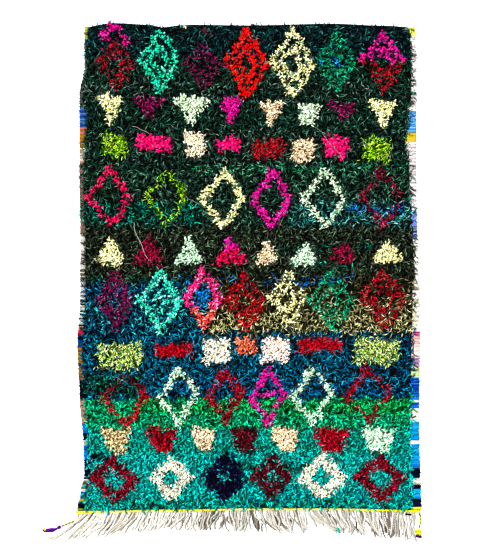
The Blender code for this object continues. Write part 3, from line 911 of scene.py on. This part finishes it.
def knots_every(pitch, draw):
    """The places of the knots, in rows a pitch apart with every other column half a pitch along."""
    x, y = np.meshgrid(*(np.arange(*reach, pitch) for reach in KNOT_FIELD), indexing="ij")
    y = y + (np.arange(x.shape[0]) % 2)[:, None] * pitch / 2
    places = np.stack([x.ravel(), y.ravel()], 1)
    places += draw.normal(0, pitch * LOOSE_KNOT, places.shape)
    x, y = places.T
    on_weave = (
        (x > left_side(y) + read(BARE_SELVEDGE, y, 1)) & (x < right_side(y) - read(BARE_SELVEDGE, y, 2))
        & (y > fringed_end(x) + FIRST_ROW) & (y < turned_end(x) - LAST_ROW)
    )
    return places[on_weave]


def lie_over(roots, draw, reach, height, curl, rings):
    """The bent lines of pile ends: each rises from its knot, leans over in its own direction and
    curls, so that its tip lies along the pile's surface."""
    count = len(roots)
    lean = draw.random(count) * math.tau
    out = draw.uniform(*reach, count)[:, None]
    rise = draw.uniform(*height, count)[:, None]
    rise = rise + PILE_WAVE * np.cos(roots / PILE_WAVE_LENGTHS * math.tau).prod(1)[:, None]
    bend = draw.normal(0, curl, count)[:, None]
    share = np.linspace(0, 1, rings)[None]
    way = lean[:, None] + bend * (share - 0.4)
    step = np.diff(out * share ** 1.25, axis=1, prepend=0)
    x = roots[:, :1] + np.cumsum(step * np.cos(way), 1)
    y = roots[:, 1:] + np.cumsum(step * np.sin(way), 1)
    droop = draw.uniform(0.0, MOST_DROOP, count)[:, None] * np.maximum(share - 0.55, 0) / 0.45
    z = ROOT_HEIGHT + rise * (1 - (1 - share) ** 2) - droop
    sideways = np.stack([-np.sin(lean), np.cos(lean), 0 * lean], 1)
    return np.stack([x, y, z], 2), sideways


def knot_ends(name, strand, roots, dyes, draw, reach, height, curl, half_width, flatness, material):
    """A piece of pile: one length of yarn for each root, copied from one modelled strand."""
    rings = strand["rings"]
    paths, sideways = lie_over(roots, draw, reach, height, curl, rings)
    taper = np.interp(np.linspace(0, 1, rings), [0, 0.3, 0.7, 1], [0.75, 1.0, 1.0, 0.9])
    widths = draw.uniform(0.75, 1.25, (len(roots), 1)) * half_width * taper
    roll = draw.normal(0, 0.5, (len(roots), 1)) * np.linspace(0.3, 1, rings)
    piece = lay_strands(name, strand, material, paths, dyes, widths, widths * flatness, sideways, roll)
    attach(piece, "root")
    return piece


# Painted shade: the ground wool darkens to near black at its roots.
ground_wool = yarn_material("unravelled_wool_pile", 0.05, 0.05, 0.9, ply=0.0045)
ground_rag = yarn_material("soft_bright_rag_pile", 0.85, 0.05, 0.9, ply=0.0045, painted_groove_shade=0.88)
pile_draw = np.random.default_rng(41)
knots = knots_every(GROUND_PITCH, pile_draw)
knot_dye, in_figure = charted(knots, pile_draw)
ground_knots = np.repeat(knots[~in_figure], 2, 0)
ground_names = np.repeat(knot_dye[~in_figure], 2)
ground_dyes = dyed(ground_names, pile_draw)
ground_knots = ground_knots + pile_draw.uniform(-GROUND_SCATTER, GROUND_SCATTER, ground_knots.shape)
GROUND_LOTS = (  # lot, how far its ends lie over, half width, flatness, material
    ("fine_wool", (0.014, 0.028), 0.0011, 0.9, ground_wool),
    ("soft_wool", (0.012, 0.022), 0.0014, 0.8, ground_wool),
    ("shredded_rag", (0.010, 0.018), 0.0018, 0.5, ground_wool),
    ("bright_rag", (0.009, 0.017), 0.0020, 0.6, ground_rag),
)
lot = pile_draw.integers(0, 3, len(ground_knots))
lot[np.isin(ground_names, BRIGHT_GROUND)] = 3
ground_pile = [
    knot_ends(
        f"ground_pile_{word}", TUFT, ground_knots[lot == k], ground_dyes[lot == k],
        np.random.default_rng(60 + k), reach, GROUND_RISE, GROUND_CURL, half, flat, material,
    )
    for k, (word, reach, half, flat, material) in enumerate(GROUND_LOTS)
]


# ---- Figure pile: the diamonds, triangles and bars, of brighter wool and of rag torn in soft strips.
# They are knotted closer, stand a little proud of the ground, and stick out past the figures' edges.
RAG_DYES = (
    "mint", "aqua", "rose", "scarlet", "magenta", "hot_pink", "candy", "salmon", "coral", "royal",
    "turquoise",
)
THREAD_DYES = (
    "plum", "wine", "brick", "crimson", "cherry", "garnet", "maroon", "lime", "pale_lime", "emerald",
    "night",
)
FIGURE_PITCH = 0.0066
FIGURE_SCATTER = 0.0026
FIGURE_RISE = (0.014, 0.0235)
SHORT_TUFT = model_strand("short_end", 3, 3, 0.75)
figure_wool = yarn_material("soft_bright_wool_pile", 0.9, 0.05, 0.9, ply=0.0045, painted_groove_shade=0.86)
figure_thread = yarn_material("fine_unravelled_thread_pile", 0.25, 0.05, 0.9, ply=0.003)
figure_rag = yarn_material("torn_rag_pile", 0.75, 0.08, 0.8, ply=0.006)
knots = knots_every(FIGURE_PITCH, pile_draw)
knot_dye, in_figure = charted(knots, pile_draw)
ends_of_each = np.where(np.isin(knot_dye[in_figure], THREAD_DYES), 2, 3)
figure_knots = np.repeat(knots[in_figure], ends_of_each, 0)
figure_names = np.repeat(knot_dye[in_figure], ends_of_each)
figure_knots = figure_knots + pile_draw.uniform(-FIGURE_SCATTER, FIGURE_SCATTER, figure_knots.shape)
figure_dyes = dyed(figure_names, pile_draw, 0.08)
of_rag = np.isin(figure_names, RAG_DYES)
of_thread = np.isin(figure_names, THREAD_DYES)
FIGURE_LOTS = (  # lot, strand, which ends, seed, how far they lie over, curl, half width, flatness
    ("wool", SHORT_TUFT, ~of_rag & ~of_thread, 70, (0.006, 0.012), 1.2, 0.0028, 0.7, figure_wool),
    ("thread", TUFT, of_thread, 71, (0.008, 0.016), 1.2, 0.0016, 0.8, figure_thread),
    ("rag", SHORT_TUFT, of_rag, 72, (0.006, 0.012), 1.0, 0.0031, 0.5, figure_rag),
)
figure_pile = [
    knot_ends(
        f"figure_pile_{word}", strand, figure_knots[chosen], figure_dyes[chosen],
        np.random.default_rng(seed), reach, FIGURE_RISE, curl, half, flat, material,
    )
    for word, strand, chosen, seed, reach, curl, half, flat, material in FIGURE_LOTS
]


# ---- End twining: one pair of bright yellow wool yarns twined across the warps at the fringed end,
# each stitch slanting over the last, to hold the weft and the first row of knots.
TWINING_DIAMETER = 0.0055
TWINING_GAP = 0.0006
STITCH_PITCH = 0.0062
STITCH_RINGS = 6
STITCH_REACH = STITCH_PITCH * 0.78       # each way from its middle, so that it laps over the next
STITCH_SLANT = TWINING_DIAMETER * 0.22
STITCH_HALVES = (0.0029, 0.0018)         # at its middle and at its ends
PAST_LEFT, PAST_RIGHT = 0.010, 0.009     # how far the twining runs on past each side
STITCH = model_strand("twined_stitch", 6, STITCH_RINGS, 0.6)
twined_wool = yarn_material("twined_yellow_wool", 1.0, 0.1, 0.8, ply=0.003)
twining_draw = np.random.default_rng(21)
stitch_x = np.arange(-RUG_WIDTH / 2 - PAST_LEFT, RUG_WIDTH / 2 + PAST_RIGHT, STITCH_PITCH)
stitch_share = np.linspace(-1, 1, STITCH_RINGS)[None]
stitch_y = fringed_end(stitch_x) - TWINING_GAP - TWINING_DIAMETER / 2
stitch_paths = np.stack(np.broadcast_arrays(
    stitch_x[:, None] + stitch_share * STITCH_REACH,
    stitch_y[:, None] - stitch_share * STITCH_SLANT,
    TWINING_DIAMETER * 0.85 + 0.0010 * (1 - stitch_share ** 2),
), 2)
corner_swell = np.interp(np.abs(stitch_x), [0.42, 0.47], [1.0, 1.4])[:, None]
stitch_halves = np.interp(np.abs(stitch_share), [0, 1], STITCH_HALVES) * corner_swell
stitch_dyes = np.array([linear(c) for c in ("#d6d004", "#c4bc0c", "#988a18")])[
    twining_draw.choice(3, len(stitch_x), p=[0.6, 0.28, 0.12])
]
end_twining = lay_strands(
    "end_twining_stitches", STITCH, twined_wool, stitch_paths, stitch_dyes, stitch_halves,
)
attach(end_twining, "root")
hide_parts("end_twining")


# ---- Warp fringe: the warps' own ends, two plies of undyed cream cotton and wool each, cut uneven,
# lying loose on the floor in slanting clumps. Each strand stands for a few warps lying together. The shaded
# strands lie lowest and take darker tones, as painted shade between the strands.
FRINGE = (  # at, reach and lean, in millimetres
    (-500, 78, -74), (-450, 76, -62), (-400, 70, -52), (-330, 60, -42),
    (-270, 56, -30), (-235, 48, -22), (-195, 56, -10), (-110, 58, -24),
    (-70, 60, 2), (0, 64, 10), (150, 66, 26), (190, 42, 22),
    (215, 66, 42), (300, 72, 28), (400, 76, 14), (500, 84, 2),
)
FRINGE_COUNT = 212
FRINGE_POINTS = 18
FRINGE_START = 0.0007    # from the weave's end
FRINGE_TUCK = 0.006      # what of its reach lies under the twining
OUTER_WARP = RUG_WIDTH / 2 - 0.012
CLUMP_BREAKS = 0.24      # how often a clump ends at a strand
STRAND_REST = 0.0041
UPPER_LAYERS = (0.0058, 0.0080)
PLY_APART = 0.0019       # from the strand's middle line
LAYS = (0.008, 0.011)
WIGGLE = 0.0034
TIP_CURL = 0.0075
SHADED_HALF = 0.0017
LIGHT_HALF = 0.0023
# Painted shade: the darker tones of the shaded strands stand for the shadows between strands.
SHADED_TONES = ("#857b6f", "#5c544a", "#a1978a")
LIGHT_TONES = ("#c3c0b7", "#b1ada3", "#d2cfc8")
FRINGE_PLY = model_strand("fringe_ply", 5, FRINGE_POINTS, 0.5)
fringe_cotton = yarn_material("undyed_two_ply_warp", 1.0, 0.05, 0.9, ply=0.0030, painted_groove_shade=0.6)
fringe_draw = np.random.default_rng(31)
warp_x = np.linspace(-OUTER_WARP, OUTER_WARP, FRINGE_COUNT)
warp_x = warp_x + fringe_draw.normal(0, 0.0012, FRINGE_COUNT)
clump = np.cumsum(fringe_draw.random(FRINGE_COUNT) < CLUMP_BREAKS)
clump_lean = fringe_draw.normal(0, 0.008, clump.max() + 1)[clump]
clump_middle = np.array([warp_x[clump == c].mean() for c in clump])
reach = read(FRINGE, warp_x, 1) * fringe_draw.uniform(0.82, 1.06, FRINGE_COUNT)
lean = read(FRINGE, warp_x, 2) + clump_lean + (clump_middle - warp_x) * 0.25
# Painted shade: these strands lie lowest and take the shaded tones, fewer of them towards the left.
shaded = fringe_draw.random(FRINGE_COUNT) < np.interp(warp_x, [-0.30, -0.10], [0.13, 0.34])
layer = np.where(shaded, STRAND_REST, fringe_draw.choice(UPPER_LAYERS, FRINGE_COUNT))
# The fringe's tones are made lighter towards the left.
lighter_to_left = np.interp(warp_x, [-0.30, -0.05], [1.18, 0.93])
along = np.linspace(0, 1, FRINGE_POINTS)
fringe_plies, fringe_dyes = [], []
for k in range(FRINGE_COUNT):
    wiggle = fringe_draw.normal(0, WIGGLE) * np.sin(along * math.pi * fringe_draw.uniform(1.4, 3.2))
    tip_curl = fringe_draw.normal(0, TIP_CURL) * np.clip(along * 2.5 - 1.5, 0, 1) ** 2
    line = np.stack([
        warp_x[k] + lean[k] * along ** 1.3 + wiggle + tip_curl,
        fringed_end(warp_x[k]) - FRINGE_START - (reach[k] + FRINGE_TUCK) * along,
        STRAND_REST + (layer[k] - STRAND_REST) * np.sin(along * math.pi) ** 0.8,
    ], 1)
    for ply in plied(line, 2, PLY_APART, fringe_draw.uniform(*LAYS)):
        fringe_plies.append(even_route(ply, FRINGE_POINTS)[0])
    tone = fringe_draw.choice(SHADED_TONES if shaded[k] else LIGHT_TONES, p=[0.5, 0.3, 0.2])
    tone = np.array(linear(tone)) * lighter_to_left[k]
    fringe_dyes += [tone, tone * 0.93]
fringe_halves = np.repeat(np.where(shaded, SHADED_HALF, LIGHT_HALF), 2)[:, None] * np.ones(FRINGE_POINTS)
warp_fringe = lay_strands(
    "warp_fringe_strands", FRINGE_PLY, fringe_cotton, fringe_plies, fringe_dyes, fringe_halves,
)
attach(warp_fringe, "root")
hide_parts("warp_fringe")


# ---- Stray ends: a few long pale threads left uncut on the pile, and ends of turquoise and dark yarn
# hanging over the twining. Each is a loose single yarn, held only where its knot holds it.
STRAY_ENDS = (  # from, to, how far it bows sideways, height, half width, in millimetres, colour
    ((-351, 424), (-297, 398), 4, 22, 0.6, "#b8b8ac"),
    ((-345, 136), (-291, 14), -10, 22, 0.7, "#c8ccc0"),
    ((189, 427), (288, 307), 10, 22, 0.6, "#8c9890"),
    ((-190, 215), (-140, 190), -5, 22, 0.6, "#98a8a0"),
    ((-410, -330), (-366, -352), 6, 22, 0.6, "#88b0c8"),
    ((300, -130), (352, -112), -7, 22, 0.6, "#c0bc98"),
    ((-432, -722), (-428, -746), 3, 12, 3, "#0cbcb4"),
    ((-424, -722), (-423, -741), -3, 13, 2.8, "#0a9c98"),
    ((472, -743), (489, -745), 1, 12, 2.6, "#080c10"),
    ((201, -748), (268, -790), -6, 11, 3.6, "#b4aea4"),
    ((267, -786), (271, -799), 0, 12, 3.6, "#10a894"),
)
STRAY_RINGS = 10
STRAY_END = model_strand("stray_end", 5, STRAY_RINGS, 0.5)
END_DROP = 0.0035        # how far each end of a thread sinks
stray_paths, stray_halves, stray_dyes = [], [], []
along = np.linspace(0, 1, STRAY_RINGS)
for start, end, bow, height, half, colour in STRAY_ENDS:
    start, end = np.array(start) / 1000, np.array(end) / 1000
    run = end - start
    aside = np.array([-run[1], run[0]]) / np.linalg.norm(run)
    swing = bow / 1000 * (np.sin(along * math.pi) + 0.35 * np.sin(along * math.tau * 1.5))
    flat = start + run * along[:, None] + aside * swing[:, None]
    lift = height / 1000 - END_DROP * (2 * along - 1) ** 4
    stray_paths.append(np.column_stack([flat, lift]))
    stray_halves.append(np.full(STRAY_RINGS, half / 1000))
    stray_dyes.append(linear(colour))
stray_wool = yarn_material("loose_single_yarn", 1.0, 0.05, 0.9, ply=0.003)
stray_ends = lay_strands(
    "stray_ends", STRAY_END, stray_wool, stray_paths, stray_dyes, np.array(stray_halves),
)
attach(stray_ends, "root")


# ---- Floor and light: a plain white studio floor under a broad soft light from all round, with one
# strong lamp overhead, a little to the far left, that picks out the tufts.
FLOOR_SIZE = 200
SOFT_LIGHT = 0.42
LAMP = 5.3
bpy.ops.mesh.primitive_plane_add(size=FLOOR_SIZE, location=(0, 0, 0))
floor = bpy.context.object
floor.name = "studio_floor"
paint = bpy.data.materials.new("matt_white_paint")
paint.use_nodes = True
paint.node_tree.nodes["Principled BSDF"].inputs["Base Color"].default_value = (0.93, 0.93, 0.93, 1)
paint.node_tree.nodes["Principled BSDF"].inputs["Roughness"].default_value = 0.9
floor.data.materials.append(paint)
world = bpy.data.worlds.new("studio")
world.use_nodes = True
world.node_tree.nodes["Background"].inputs["Color"].default_value = (1, 1, 1, 1)
world.node_tree.nodes["Background"].inputs["Strength"].default_value = SOFT_LIGHT
bpy.context.scene.world = world
bpy.ops.object.light_add(type="SUN", location=(-2, 2, 4))
lamp = bpy.context.object
lamp.name = "key_light"
lamp.rotation_euler = (math.radians(-16), math.radians(-18), 0)
lamp.data.energy = LAMP
lamp.data.angle = math.radians(12)
view = bpy.context.scene.view_settings
view.view_transform, view.gamma, view.exposure = "Standard", 0.76, 0.35
